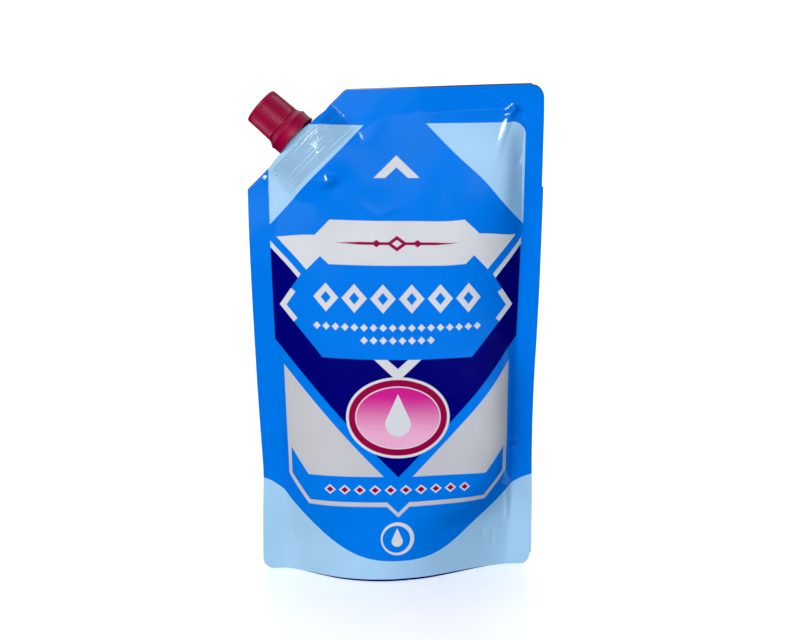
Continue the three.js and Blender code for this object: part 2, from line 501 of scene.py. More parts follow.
def halfDepth(s, t, front=False):
    q = min(abs(s) / innerHalf, 1.0)
    lens = 1 - q * q
    if front and s > 0:
        lens = shoulder(q, t)
    lens = lens ** (1 + film["curl"] * (1 - smooth(t, 0, film["curlTo"])))
    lean = 1 - film["lean"] * (1 - smooth(t, 0, film["leanTo"])) * s / innerHalf
    belly = film["belly"] * (1 - film["bellyLoss"] * smooth(t, film["bellyFrom"], film["bellyTo"]))
    belowTop = max(topEdge(s) - film["topWeld"] - t, 0.0)
    along, inside = cutPlace(s, t)
    fade = 1 - math.exp(-belowTop / film["topFade"])
    fade *= 1 - math.exp(-max(inside - spoutCorner["weld"], 0.0) / spoutCorner["fade"])
    full = belly * lens * lean * fade
    return max(film["weldHalf"], (full ** 3 + footSwell(along, inside) ** 3) ** (1 / 3))


def nearLine(s, t, a, b):
    # distance to the line from a to b, and the share of the way along it
    rs, rt = b[0] - a[0], b[1] - a[1]
    k = min(max(((s - a[0]) * rs + (t - a[1]) * rt) / (rs * rs + rt * rt), 0.0), 1.0)
    return math.hypot(s - a[0] - rs * k, t - a[1] - rt * k), k


# creases have a sharp crest and folds a round one: width, then places with their heights
frontCreases = [
    (1.7, (51.6, 210.0, 1.5), (44.2, 205.4, 0.5), (38.2, 199.0, 0.0)),  # pucker in the top corner
    (1.7, (51.6, 210.0, 1.2), (48.3, 204.5, 1.1), (41.9, 186.2, 0.0)),
    (2.6, (10.0, 207.0, 0.45), (-0.6, 191.1, 0.0)),
    (1.9, (-33.8, 191.2, 0.2), (-30.0, 180.7, 0.5), (-28.7, 173.0, 0.0)),  # drawn in by the spout
    (2.6, (-33.0, 177.2, 0.4), (-30.6, 178.2, 1.7), (-28.2, 179.0, 1.7), (-26.2, 180.0, 0.3)),
    (2.2, (53.0, 80.0, 0.2), (53.6, 70.0, 0.7), (54.4, 60.0, 1.4)),  # dart at the right weld
    (1.2, (54.4, 60.0, 1.0), (57.3, 58.2, 0.7)),
    (1.5, (54.5, 55.8, -0.8), (57.6, 56.2, -0.5)),
    (0.9, (58.0, 72.7, 0.3), (62.8, 51.5, 0.2)),
    (1.1, (52.8, 37.0, 0.3), (53.2, 33.0, 0.7), (53.8, 23.0, 0.5)),
    (0.8, (-46.6, 178.0, 0.0), (-51.8, 183.7, 0.35), (-50.0, 186.5, 0.0)),
]
frontFolds = [
    # by the right weld
    (3.4, (53.2, 203.0, -0.2), (53.3, 194.0, -1.6), (53.2, 176.0, -2.2), (52.6, 160.0, 0.0)),
    (2.0, (53.3, 191.0, 0.0), (54.0, 186.4, -0.5), (53.4, 182.0, 0.0)),
    (1.8, (-14.7, 167.8, 0.2), (-8.2, 164.0, 0.4), (-0.8, 167.9, 0.2)),
    (4.0, (51.0, 90.0, -0.3), (51.0, 76.0, -0.2), (52.0, 62.0, 0.5), (52.0, 48.0, 0.2)),
    (0.8, (41.4, 19.0, -0.3), (41.9, 15.0, -0.3)),
    (0.8, (46.7, 16.5, -0.3), (47.0, 11.5, -0.3)),
    (0.8, (-50.6, 22.5, -0.25), (-50.8, 16.5, -0.25)),
]
# dents and bumps: place, radius, height
frontDents = [
    ((54.2, 207.2), 2.2, -0.9),
    ((54.0, 186.4), 1.5, -0.6),
    ((-24.7, 177.5), 4.5, -0.6),
    ((-16.3, 186.2), 0.9, 0.3),
    ((-8.0, 169.5), 7.0, -0.4),
    ((-33.2, 189.6), 0.8, 0.24),
    ((-38.9, 194.6), 0.8, 0.16),
    ((-48.1, 175.2), 1.2, 0.35),
    ((-57.4, 177.8), 1.4, 0.55),
    ((-54.7, 25.6), 1.1, 0.3),
    ((-59.0, 51.1), 3.5, -0.25),
    ((-62.9, 39.9), 1.0, 0.2),
]
backCreases = [
    (1.9, (50.5, 209.0, 0.9), (36.0, 190.0, 0.0)),
    (2.2, (-53.0, 78.0, 0.3), (-57.0, 55.0, 0.9)),
    (2.0, (54.0, 64.0, 0.7), (57.0, 40.0, 0.2)),
]
backFolds = [
    (2.4, (-12.0, 207.0, 0.5), (-2.0, 186.0, 0.0)),
    (2.6, (-53.0, 198.0, -0.3), (-53.5, 176.0, -0.6), (-52.0, 160.0, 0.0)),
]
backDents = [((-22.0, 176.0), 6.0, -1.0), ((20.0, 150.0), 14.0, -0.5), ((-14.0, 96.0), 16.0, -0.5)]
weldPuckers = {
    "height": 0.18,
    "least": 0.15,
    "scale": (0.42, 0.3),
    "depth": (9.0, 17.0),
    "ends": (20.0, 30.0),
}
# slack film and welded edges: scales across and up, seed, height
slackWaves = ((0.035, 0.03, 0.0, 0.55), (0.09, 0.07, 9.0, 0.16))
edgeWaves = ((0.02, 0.028, 2.0, 0.9), (0.06, 0.08, 7.0, 0.22))
frontSeed, backSeed = 3.0, 11.0


def lineLift(s, t, lines, sharp):
    lift = 0.0
    for width, *places in lines:
        strongest = 0.0
        for a, b in zip(places, places[1:]):
            d, k = nearLine(s, t, a, b)
            if d > 5 * width:
                continue
            share = bell(d, width)
            if sharp:
                share = max(1.3 - math.hypot(d / width, 0.3), 0.0) ** 1.3  # only the very crest is round
            strongest = max(strongest, mixed(a[2], b[2], k) * share, key=abs)
        lift += strongest
    return lift


def weldLift(s, t, seed):
    # the film puckers a little in the weld along the cut corner
    w = weldPuckers
    along, inside = cutPlace(s, t)
    if inside > w["depth"][1] or abs(along) > w["ends"][1]:
        return 0.0
    pucker = noise.noise(Vector((along * w["scale"][0], inside * w["scale"][1], seed + 4.0)))
    lift = w["height"] * max(pucker - w["least"], 0.0)
    return lift * (1 - smooth(inside, *w["depth"])) * (1 - smooth(abs(along), *w["ends"]))


def waved(s, t, layers, seed=0.0):
    wave = 0.0
    for across, up, layer, height in layers:
        wave += noise.noise(Vector((s * across, t * up, seed + layer))) * height
    return wave


def relief(s, t, depth, side):
    front = side < 0
    seed = frontSeed if front else backSeed
    lift = lineLift(s, t, frontCreases if front else backCreases, True)
    lift += lineLift(s, t, frontFolds if front else backFolds, False)
    for (cs, ct), radius, height in frontDents if front else backDents:
        d = math.hypot(s - cs, t - ct)
        if d < 3 * radius:
            lift += height * bell(d, radius)
    return lift + weldLift(s, t, seed) + waved(s, t, slackWaves, seed) * smooth(depth, 0.4, 3.0)


def sheetWave(s, t):
    # welded edges wave as one sheet
    rim = smooth(abs(s), 50, 65) + smooth(t, 196, 218)
    return waved(s, t, edgeWaves) * min(rim, 1.0)


def lowEdge(s):
    out = abs(s) - (film["width"] / 2 - film["baseCorner"])
    if out <= 0:
        return 0.0
    return film["baseCorner"] - math.sqrt(max(film["baseCorner"] ** 2 - out * out, 0.0))


# the film's lips round the collar
lips = {
    "front": 1.5,
    "back": 0.7,
    "at": -1.0,
    "width": 14.0,
    "backTab": 0.6,
    "backTabAt": -10.0,
    "backTabWidth": 5.0,
    "wave": 0.5,
    "waveScale": 0.13,
    "reach": 25.0,
    "fade": 12.0,
    "wall": 0.25,
    "open": (0.7, 1.8),  # half depths at which the film parts round the spout
}


def highEdge(s, side):
    flat = topEdge(s)
    flat -= film["leanDrop"] * leanBack(cutPlace(s, flat)[1])[0]
    corner = film["width"] / 2 - film["topCorner"]
    if s > corner:
        flat -= film["dieStep"]
        flat -= film["topCorner"] - math.sqrt(max(film["topCorner"] ** 2 - (s - corner) ** 2, 0.0))
    along = (s - spoutCorner["s"]) / math.cos(cutTurn)
    wave = noise.noise(Vector((along * lips["waveScale"], side * 3.0, 1.0))) * lips["wave"]
    wave += lips["front" if side < 0 else "back"] * bell(along - lips["at"], lips["width"])
    if side > 0:
        wave += lips["backTab"] * bell(along - lips["backTabAt"], lips["backTabWidth"])
    cut = spoutCorner["t"] + (s - spoutCorner["s"]) * math.tan(cutTurn)
    cut += wave * smooth(lips["reach"] - abs(along), 0, lips["fade"])
    return min(flat, cut) + (film["backProud"] if side > 0 else 0.0)


def stopped(stops, k):
    for (k0, v0), (k1, v1) in zip(stops, stops[1:]):
        if k <= k1:
            return mixed(v0, v1, (k - k0) / (k1 - k0))
    return stops[-1][1]


def columnAt(u):
    bend, straight = film["columnStops"][-1]
    if abs(u) <= bend:
        return math.copysign(stopped(film["columnStops"], abs(u)), u)
    turn = (abs(u) - bend) / (1 - bend) * math.pi / 2
    return math.copysign(straight + film["edgeWidth"] * math.sin(turn), u)


def baseWeld(s):
    share = min(abs(s) / baseFold["weldSpan"], 1.0)
    return baseFold["weldLow"] + baseFold["weldRise"] * (1 - math.cos(math.pi * share ** 1.5)) / 2


# how the front's print lies: millimetres of shift, and where across or up the film each comes and goes
printLay = {
    "tilt": (0.0095, -0.012),
    "tiltTurn": (160.0, 200.0),
    "sag": 1.4,
    "sagAt": 41.0,
    "sagMost": 2.2,
    "sagUp": ((10.0, 30.0), (50.0, 115.0)),
    "sagLoss": 0.8,
    "sagLossFrom": (48.0, 65.0),
    "wingSag": 0.9,
    "wingFrom": (40.0, 54.0),
    "wingUp": ((135.0, 152.0), (165.0, 190.0)),
    "rise": (2.7, 2.1),
    "riseTurn": (36.0, 50.0),
    "riseFrom": 8.0,
    "riseRun": 42.0,
    "riseUp": ((10.0, 26.0), (92.0, 125.0)),
    "riseLoss": 0.6,
    "riseLossFrom": (52.0, 65.0),
    "shoulderRise": 2.3,
    "shoulderAt": 38.0,
    "shoulderWidth": 13.0,
    "shoulderUp": ((118.0, 160.0), (178.0, 202.0)),
}


def printDrift(s, t):
    # the print runs a little out of square with the film
    lay = printLay
    tilt = mixed(*lay["tilt"], smooth(t, *lay["tiltTurn"]))
    sag = min(lay["sag"] * (s / lay["sagAt"]) ** 2, lay["sagMost"]) * between(t, *lay["sagUp"])
    sag *= 1 - lay["sagLoss"] * smooth(abs(s), *lay["sagLossFrom"])
    sag += lay["wingSag"] * smooth(-s, *lay["wingFrom"]) * between(t, *lay["wingUp"])
    # and is drawn up on the right, where the front is full
    rise = mixed(*lay["rise"], smooth(t, *lay["riseTurn"])) * between(t, *lay["riseUp"])
    rise *= min(max((s - lay["riseFrom"]) / lay["riseRun"], 0.0), 1.0)
    rise *= 1 - lay["riseLoss"] * smooth(s, *lay["riseLossFrom"])
    bulge = bell(s - lay["shoulderAt"], lay["shoulderWidth"])
    rise += lay["shoulderRise"] * bulge * between(t, *lay["shoulderUp"])
    return t + tilt * s + sag - rise


uvReach = 300.0  # film millimetres across the whole UV square
sheetU = {"front": 0.25, "back": 0.75}
gussetV, edgeUv = 0.86, (0.97, 0.97)


def contraction(across):
    # the film keeps its length, so a bulging row draws its edges in
    columns, middle = len(across) - 1, len(across) // 2
    table = []
    for k in range(math.ceil(film["rightHeight"] / film["xStep"]) + 1):
        depths = [halfDepth(s, k * film["xStep"]) for s in across]
        xs = [0.0] * (columns + 1)
        for step in (1, -1):
            for i in range(middle, columns if step > 0 else 0, step):
                ds = across[i + step] - across[i]
                slope = (depths[i + step] - depths[i]) / ds
                xs[i + step] = xs[i] + ds * math.sqrt(max(1 - slope * slope, 0.1))
        table.append(xs)
    return table


def makePouch(materials):
    columns, rows = film["columns"], film["rowStops"][-1][0]
    across = [columnAt(2 * i / columns - 1) for i in range(columns + 1)]
    low = [lowEdge(s) for s in across]
    high = {side: [highEdge(s, side) for s in across] for side in (-1, 1)}
    drawnIn = contraction(across)

    def xAt(i, t):
        k = min(max(t / film["xStep"], 0.0), len(drawnIn) - 1.001)
        return mixed(drawnIn[int(k)][i], drawnIn[int(k) + 1][i], k % 1)

    bm = bmesh.new()
    bmesh.ops.create_grid(bm, x_segments=columns, y_segments=rows, size=1.0)
    bmesh.ops.rotate(bm, verts=bm.verts[:], cent=(0, 0, 0), matrix=Matrix.Rotation(math.pi / 2, 3, "X"))
    bmesh.ops.translate(bm, verts=bm.verts[:], vec=(0, -1, 0))
    flat = bm.verts[:] + bm.edges[:] + bm.faces[:]
    grown = bmesh.ops.extrude_face_region(bm, geom=flat, use_keep_orig=True)["geom"]
    bmesh.ops.translate(bm, verts=[g for g in grown if isinstance(g, bmesh.types.BMVert)], vec=(0, 2, 0))
    for end, steps in ((-1, film["baseSteps"]), (1, film["topSteps"])):
        rungs = [e for e in bm.edges if abs(e.verts[0].co.y - e.verts[1].co.y) > 1]
        rungs = [e for e in rungs if all(abs(v.co.z - end) < 1e-4 for v in e.verts)]
        bmesh.ops.subdivide_edges(bm, edges=rungs, cuts=steps - 1)
    bmesh.ops.recalc_face_normals(bm, faces=bm.faces[:])
    print("film grid", len(bm.verts))

    uv = bm.loops.layers.uv.new("film")
    marks = {}  # which sheet a vertex belongs to, and its place on the UV square
    for v in bm.verts:
        u, w, h = v.co
        i = round((u + 1) / 2 * columns)
        j = round((h + 1) / 2 * rows)
        side = -1 if w < 0 else 1
        s, t = across[i], mixed(low[i], high[side][i], stopped(film["rowStops"], j))
        x, z = xAt(i, t), t
        depth = halfDepth(s, t)
        back, tilt = leanBack(cutPlace(s, t)[1])
        centre = sheetWave(s, t) + back
        edge = smooth(s, *film["dieEdge"])
        if t > film["dieStepFrom"]:
            x -= film["dieStep"] * edge
        elif t < film["baseDieStepTo"]:
            x -= film["baseDieStep"] * edge
        k = abs(w)
        if k > 0.999:
            full = halfDepth(s, t, side < 0)
            y = side * (full + relief(s, t, depth, side))
            if side < 0:
                marks[v] = ("front", (sheetU["front"] + s / uvReach, printDrift(s, t) / uvReach))
            else:
                marks[v] = ("back", (sheetU["back"] + s / uvReach, t / uvReach))
        elif j == 0:
            hem = 1 - baseFold["hemSteps"] / film["baseSteps"]
            roofFrom = baseFold["roofSteps"] / film["baseSteps"]
            hollow = 1 - smooth(abs(s), *baseFold["ends"])
            weld = baseWeld(s)
            fold = baseFold["endHeight"] - baseFold["sag"] * (1 - (s / baseFold["reach"]) ** 2)
            if k >= hem:
                inner, rise = mixed(depth - baseFold["wall"], depth, (k - hem) / (1 - hem)), t
            elif k >= roofFrom:
                rise = mixed(t, weld, (hem - k) / (hem - roofFrom))
                inner = halfDepth(s, rise) - baseFold["wall"]
            else:
                share = 1 - k / roofFrom
                rise = weld + (fold - weld) * share ** baseFold["sharpness"]
                inner = (halfDepth(s, weld) - baseFold["wall"]) * (1 - share)
            z = mixed(t, rise, hollow)
            x = mixed(x, xAt(i, min(z, weld)), hollow)
            y = side * mixed(depth * k, max(inner, 0.0), hollow)
            marks[v] = ("gusset", (sheetU["front"] + s / uvReach, gussetV + 0.1 * w))
        elif j == rows:
            hollow = smooth(depth, *lips["open"])
            wall = min(lips["wall"], depth * 0.4)
            rim = depth + relief(s, t, depth, side)
            y = rim * k
            if k > 0.45:
                y = mixed(y, rim - wall * min((1 - k) / 0.25, 1.1), hollow)
            else:
                y = mixed(y, (rim - wall) * k / 0.5, hollow)
            sink = spoutCorner["pocket"] * hollow if k < 0.7 else 0.0
            x -= cutOut.x * math.cos(cutLean) * sink
            z -= cutOut.y * math.cos(cutLean) * sink
            centre -= math.sin(cutLean) * sink
            y *= side
            # the pocket's walls take the dark core ink: painted shade inside the pocket
            marks[v] = ("edge", edgeUv)
        else:
            y = w * depth
            marks[v] = ("edge", edgeUv)
        # depth goes square to the film, also where it leans
        x -= math.sin(tilt) * y * cutOut.x
        z -= math.sin(tilt) * y * cutOut.y
        v.co = Vector((x + film["shift"], centre + math.cos(tilt) * y, z)) * mm
    slots = {"front": 0, "back": 1, "edge": 2, "gusset": 3}
    for f in bm.faces:
        sheets = {marks[v][0] for v in f.verts}
        if len(sheets) > 1:
            sheets = sheets - {"front", "back"} or {"edge"}  # rims belong to what lies between the films
        f.material_index = slots["edge" if "edge" in sheets else sheets.pop()]
        for loop in f.loops:
            loop[uv].uv = marks[loop.vert][1]
    finishPiece("pouchFilm", bm, "pouch", materials, 55)


# print: fields of colour and simple shapes, in film millimetres

inks = {
    "blue": linear(0, 119, 230),
    "pale": linear(165, 207, 241),
    "navy": linear(0, 0, 112),
    "white": linear(214, 214, 219),
    # the panels' white is the white ink made about a fifth darker: painted shade for the lower panels
    "panel": linear(196, 195, 201),
    "red": linear(150, 4, 66),
    "pink": linear(205, 30, 140),
    "blush": linear(235, 170, 205),
    # the core ink also lies as painted shade on the film's inner walls in the pocket round the spout
    "coreAndPocketShade": linear(52, 46, 56),  # the laminate, seen where it is cut
}

# halves are mirrored about the middle
frontPrint = {
    "half": 55.9,  # the label stops at the side welds
    "topLineIn": (43.9, 135.6),
    "topLineOut": (55.9, 149.3),
    "navyTop": 125.0,
    "slashIn": (42.5, 137.2),
    "slashOut": (55.8, 152.2),
    "veeFoot": (0.0, 48.4),
    "veeOut": (55.6, 106.5),
    "hexTip": (52.8, 123.0),
    "hexFoot": (33.3, 101.2),
    "tipBar": 2.5,
    "tipBarEnds": (((47.3, 130.8), (45.7, 129.7)), ((46.4, 115.9), (47.9, 114.5))),
    "wing": ((32.0, 155.3), (33.7, 146.0), (40.1, 139.5), (53.1, 154.2)),
    "band": ((-1.0, 142.6), (30.1, 142.6), (33.9, 146.0), (36.1, 155.0), (29.4, 162.0), (-1.0, 162.0)),
    "upperChevron": (((10.0, 180.6), (0.0, 190.3)), ((0.0, 185.2), (5.0, 180.6))),
    "upperChevronFoot": 180.6,
    "lowerChevron": (((0.0, 91.6), (10.3, 101.2)), ((4.5, 101.2), (0.0, 97.2))),
    "panelHalf": 52.0,
    "panelFoot": 48.7,
    "panel": (((52.4, 96.7), (6.9, 49.2)), ((41.0, 48.7), (50.1, 60.2))),
    "frameFoot": 34.8,
    "frameTop": 63.4,
    "frameBar": 2.1,
    "frameSide": 0.9,  # shares of the bar on the sides and the notch
    "frameDip": 0.72,
    "frameCorner": ((41.2, 34.6), (51.8, 47.4)),
    "frameNotch": ((0.0, 29.8), (5.0, 34.8)),
    # painted shadow along the foot of the front: its width, its thinning towards the sides and its tilt
    "hem": 0.95,
    "footShadowThins": 0.00042,
    "footShadowTilt": 0.0095,
}

ornaments = {
    "ruleAt": 152.2,
    "rule": 0.62,
    "ruleTaper": (27.0, 1.6),
    "ruleMarks": ((0.0, 4.6, 3.4), (9.0, 2.2, 1.7)),
    "ruleEye": (2.2, 1.6),
    # rows of lozenges: pitch, height, half sizes, ink, half the row's length
    "rows": (
        (12.6, 128.0, 5.6, 6.4, "white", 37.8),
        (12.6, 128.0, 2.3, 2.7, "blue", 37.8),
        (4.2, 115.2, 1.7, 1.7, "white", 37.8),
        (4.2, 109.6, 1.7, 1.7, "white", 16.8),
        (6.8, 42.6, 2.7, 2.3, "white", 34.0),
        (6.8, 42.6, 1.7, 1.4, "red", 34.0),
    ),
    "oval": (0.0, 75.4),
    "ovalRings": (("white", 23.0, 18.2), ("red", 21.8, 17.0), ("white", 18.9, 14.1)),
    "ovalField": (18.4, 13.6),
    "ovalFade": (66.0, 86.0),
    "ovalDrop": ((0.0, 72.6), 5.6, 13.4),
    "ringOuter": ((-0.3, 19.9), 7.5, 7.7),
    "ringInner": ((-0.8, 19.7), 6.2, 6.3),
    "ringDrop": ((-0.5, 18.7), 2.5, 6.2),
}

baseField = {"low": 9.4, "rise": 17.0, "span": 69.6, "power": 1.3}
topFields = {
    "weldEdge": (-55.8, 159.3),
    "slant": (-14.8, 202.1),
    "brow": 202.9,
    "round": (50.1, 197.2),
    "roundSize": 6.5,
    "slope": ((13.0, 203.7), (56.2, 159.0)),
}


def baseCurve(a, t):
    # positive below the curved base field
    share = calc("DIVIDE", a, baseField["span"])
    turn = times(calc("POWER", share, baseField["power"]), math.pi)
    rise = times(minus(1.0, calc("COSINE", turn)), baseField["rise"])
    return minus(plus(rise, baseField["low"]), t)


def filmPlace(tree, centre):
    uvNode = tree.nodes.new("ShaderNodeUVMap")
    uvNode.uv_map = "film"
    mapping = tree.nodes.new("ShaderNodeMapping")
    shift, scale = (-centre * uvReach, 0, 0), (uvReach, uvReach, 1)
    feedAll(mapping, {"Vector": uvNode.outputs[0], "Location": shift, "Scale": scale})
    return mapping.outputs[0]


def cornerFields(colour, place):
    # pale corners at the top: slanted beside the spout, rounded on the other side
    f = topFields
    weldEdge, brow = f["weldEdge"], f["brow"]
    upright, level = ((weldEdge[0], 210.0), weldEdge), ((0.0, brow), (-60.0, brow))
    left = convexOpen(place, upright, (weldEdge, f["slant"]), level)
    colour = paint(colour, inks["pale"], left)
    moved = calcVector("SUBTRACT", place, (*f["round"], 0))
    beyond = calcVector("MAXIMUM", moved, (0, 0, 0))
    rounded = minus(f["roundSize"], calcVector("LENGTH", beyond, out="Value"))
    right = lowest(leftOf(place, *f["slope"]), rounded)
    return paint(colour, inks["pale"], right)


def frontFields(half, a, t):
    p = frontPrint
    within = minus(p["half"], a)
    # navy field with a pointed foot
    under = leftOf(half, p["topLineOut"], p["topLineIn"])
    upper = highest(under, minus(p["navyTop"], t))
    navy = lowest(within, upper, leftOf(half, p["veeFoot"], p["veeOut"]))
    colour = paint(inks["blue"], inks["navy"], navy)
    edges = ("slashOut", "slashIn"), ("topLineIn", "topLineOut"), ("slashIn", "topLineIn")
    slash = convexOpen(half, *[(p[c], p[d]) for c, d in edges])
    colour = paint(colour, inks["white"], lowest(slash, within))
    # blue hexagon over it, with a white bar round each tip
    tip = convexOpen(half, (p["hexFoot"], p["hexTip"]), (p["hexTip"], p["topLineIn"]))
    hexLow = p["hexFoot"][1]
    colour = paint(colour, inks["blue"], lowest(tip, minus(t, hexLow)))
    ends = convexOpen(half, *p["tipBarEnds"])
    bar = lowest(tip, minus(p["tipBar"], tip), ends)
    colour = paint(colour, inks["white"], bar)
    # white band with winged ends
    band = highest(convex(half, *p["wing"]), convex(half, *p["band"]))
    colour = paint(colour, inks["white"], band)
    # chevrons over the band and under the hexagon
    upper = convexOpen(half, *p["upperChevron"])
    colour = paint(colour, inks["white"], lowest(upper, minus(t, p["upperChevronFoot"])))
    lower = convexOpen(half, *p["lowerChevron"])
    colour = paint(colour, inks["white"], lowest(lower, minus(hexLow, t)))
    # side panels and the line that frames them, in the darker panel white, which is painted shade
    inPanel = minus(p["panelHalf"], a)
    panel = convexOpen(half, *p["panel"])
    panel = lowest(inPanel, panel, minus(t, p["panelFoot"]))
    colour = paint(colour, inks["panel"], panel)

    def frameEdge(inner):
        side = inner * p["frameSide"]
        corner = minus(leftOf(half, *p["frameCorner"]), side)
        notch = minus(leftOf(half, *p["frameNotch"]), inner * p["frameDip"])
        foot = highest(minus(t, p["frameFoot"] + inner), notch)
        return lowest(minus(inPanel, side), corner, foot)

    hole = times(frameEdge(p["frameBar"]), -1.0)
    line = lowest(frameEdge(0.0), hole, minus(p["frameTop"], t))
    return paint(colour, inks["panel"], line)


def frontOrnaments(colour, place, half, a, t):
    o = ornaments
    at = o["ruleAt"]
    rule = minus(o["rule"], apart(t, at))
    rule = lowest(rule, lozenge(place, (0, at), *o["ruleTaper"]))
    marks = [lozenge(half, (x, at), rx, ry) for x, rx, ry in o["ruleMarks"]]
    colour = paint(colour, inks["red"], highest(rule, *marks))
    colour = paint(colour, inks["white"], lozenge(half, (0, at), *o["ruleEye"]))
    for pitch, height, rx, ry, ink, reach in o["rows"]:
        repeat = minus(calc("MODULO", a, pitch), pitch / 2)
        row = lozenge(joinXYZ(repeat, t), (0, height), rx, ry)
        colour = paint(colour, inks[ink], lowest(row, minus(reach, a)))
    # oval medallion with a milk drop
    for ink, rx, ry in o["ovalRings"]:
        colour = paint(colour, inks[ink], ellipse(place, o["oval"], rx, ry))
    fade = mixColours(ramp(t, *o["ovalFade"]), inks["blush"], inks["pink"])
    colour = paint(colour, fade, ellipse(place, o["oval"], *o["ovalField"]))
    colour = paint(colour, inks["white"], drop(place, *o["ovalDrop"]))
    # ring with a drop under the frame
    hole = times(ellipse(place, *o["ringInner"]), -1.0)
    ring = lowest(ellipse(place, *o["ringOuter"]), hole)
    return paint(colour, inks["white"], highest(ring, drop(place, *o["ringDrop"])))


def frontColour(place):
    p = frontPrint
    s, t, _ = splitXYZ(place)
    a = calc("ABSOLUTE", s)
    half = joinXYZ(a, t)
    colour = frontFields(half, a, t)
    colour = frontOrnaments(colour, place, half, a, t)
    colour = paint(colour, inks["pale"], baseCurve(a, t))
    # painted shadow: a thin navy line along the foot of the front, widest in the middle
    edge = minus(t, times(s, p["footShadowTilt"]))
    hem = minus(p["hem"], times(times(a, a), p["footShadowThins"]))
    colour = paint(colour, inks["navy"], minus(hem, edge))
    return cornerFields(colour, place)


backPrint = {
    "navy": ((-1, 138.0), (55.9, 138.0), (55.9, 146.0), (40.0, 156.0), (-1, 156.0)),
    "stripe": ((-1, 145.6), (48.0, 145.6), (48.0, 148.4), (-1, 148.4)),
    "panel": ((-1, 52.0), (38.0, 52.0), (48.0, 62.0), (48.0, 130.0), (-1, 130.0)),
    "rulePitch": 8.0,
    "rule": ((-1, -0.35), (42.0, -0.35), (42.0, 0.35), (-1, 0.35)),
    "rulesFrom": 66.0,
    "rulesTo": 122.0,
    "drop": ((0.0, 27.5), 4.2, 10.0),
}


def backColour(place):
    p = backPrint
    s, t, _ = splitXYZ(place)
    a = calc("ABSOLUTE", s)
    half = joinXYZ(a, t)
    colour = inks["blue"]
    for ink, field in (("navy", "navy"), ("white", "stripe"), ("white", "panel")):
        colour = paint(colour, inks[ink], convex(half, *p[field]))
    repeat = minus(calc("MODULO", t, p["rulePitch"]), p["rulePitch"] / 2)
    rules = convex(joinXYZ(a, repeat), *p["rule"])
    rules = lowest(rules, minus(t, p["rulesFrom"]), minus(p["rulesTo"], t))
    colour = paint(colour, inks["pale"], rules)
    colour = paint(colour, inks["white"], drop(place, *p["drop"]))
    colour = paint(colour, inks["pale"], baseCurve(a, t))
    return cornerFields(colour, place)


def printedFilm(name, group, pressAndShadeGroup, centre, draw):
    material, tree, shader = newMaterial(name)
    place = filmPlace(tree, centre)
    surface = surfaceFrom(group, place, Gloss=filmSkin["gloss"], Haze=filmSkin["haze"])
    pressedAndShaded = surfaceFrom(pressAndShadeGroup, place)
    # the weld's painted shade and sheen multiply the film's own tone
    tone = times(surface["Tone"], pressedAndShaded["Tone"])
    height = plus(surface["Height"], pressedAndShaded["Height"])
    feedAll(shader, {"Specular IOR Level": filmSkin["specular"]})
    dress(shader, draw(place), tone, surface["Roughness"], height, filmSkin["bump"], filmSkin["bumpDepth"])
    return material


def pieceMillimetres(tree):
    coord = tree.nodes.new("ShaderNodeTexCoord")
    return calcVector("MULTIPLY", coord.outputs["Object"], (1000, 1000, 1000))


def plainFilm(name, group, ink, gloss):
    material, tree, shader = newMaterial(name)
    surface = surfaceFrom(group, pieceMillimetres(tree), Gloss=gloss, Haze=filmSkin["plainHaze"])
    tone, rough, height = surface
    dress(shader, inks[ink], tone, rough, height, filmSkin["plainBump"], filmSkin["bumpDepth"])
    return material


filmGroup = filmSurfaceGroup()
pressAndShadeGroup = weldPressAndShadeGroup()
filmMaterials = [
    printedFilm("filmFront", filmGroup, pressAndShadeGroup, sheetU["front"], frontColour),
    printedFilm("filmBack", filmGroup, pressAndShadeGroup, sheetU["back"], backColour),
    # cut edges in the laminate's dark core, which also lies as painted shade on the pocket's walls
    plainFilm("filmCutEdgeAndPocketShade", filmGroup, "coreAndPocketShade", 0.4),
    plainFilm("filmGusset", filmGroup, "pale", 0.3),
]
makePouch(filmMaterials)


# moulded plastic shared by cap, band and spout

moulded = {
    "capInk": linear(150, 0, 56),
    "capGloss": 0.4,
    "spoutInk": linear(205, 208, 210),
    "spoutGloss": 0.38,
    "spoutScatter": 0.1,
    "scatterReach": (0.0012, 0.0006, 0.0006),
    "specular": 0.18,
    "bump": 0.18,
    "bumpDepth": 0.0002,
    "flowScale": 0.22,
    "flowTone": (0.9, 1.08),
    "skinScale": 4.5,
    "scuffScale": 1.1,
    "scuff": 0.22,
}


def mouldedGroup():
    m = moulded
    group, start, end = makeGroup("mouldedPlastic", ("Tone", "Roughness", "Height"), Gloss=0.34)
    place = start.outputs["Place"]
    flow = grain(place, m["flowScale"], 3.0)
    skin = grain(place, m["skinScale"], 3.0, 0.6)
    scuff = grain(place, m["scuffScale"], 4.0, 0.65)
    tone = ramp(flow, 0.3, 0.7, *m["flowTone"])
    rough = times(minus(scuff, 0.5), m["scuff"])
    rough = calc("ADD", start.outputs["Gloss"], rough, clamp=True)
    height = plus(times(skin, 0.5), times(scuff, 0.5))
    feedAll(end, {"Tone": tone, "Roughness": rough, "Height": height})
    return group


def plastic(name, group, ink, gloss, scatter):
    material, tree, shader = newMaterial(name)
    surface = surfaceFrom(group, pieceMillimetres(tree), Gloss=gloss)
    feedAll(shader, {
        "Specular IOR Level": moulded["specular"],
        "Subsurface Weight": scatter,
        "Subsurface Radius": moulded["scatterReach"],
    })
    tone, rough, height = surface
    dress(shader, ink, tone, rough, height, moulded["bump"], moulded["bumpDepth"])
    return material


plasticGroup = mouldedGroup()
capPlastic = plastic("capPlastic", plasticGroup, moulded["capInk"], moulded["capGloss"], 0.0)
spoutPlastic = plastic(
    "spoutPlastic", plasticGroup, moulded["spoutInk"], moulded["spoutGloss"], moulded["spoutScatter"])

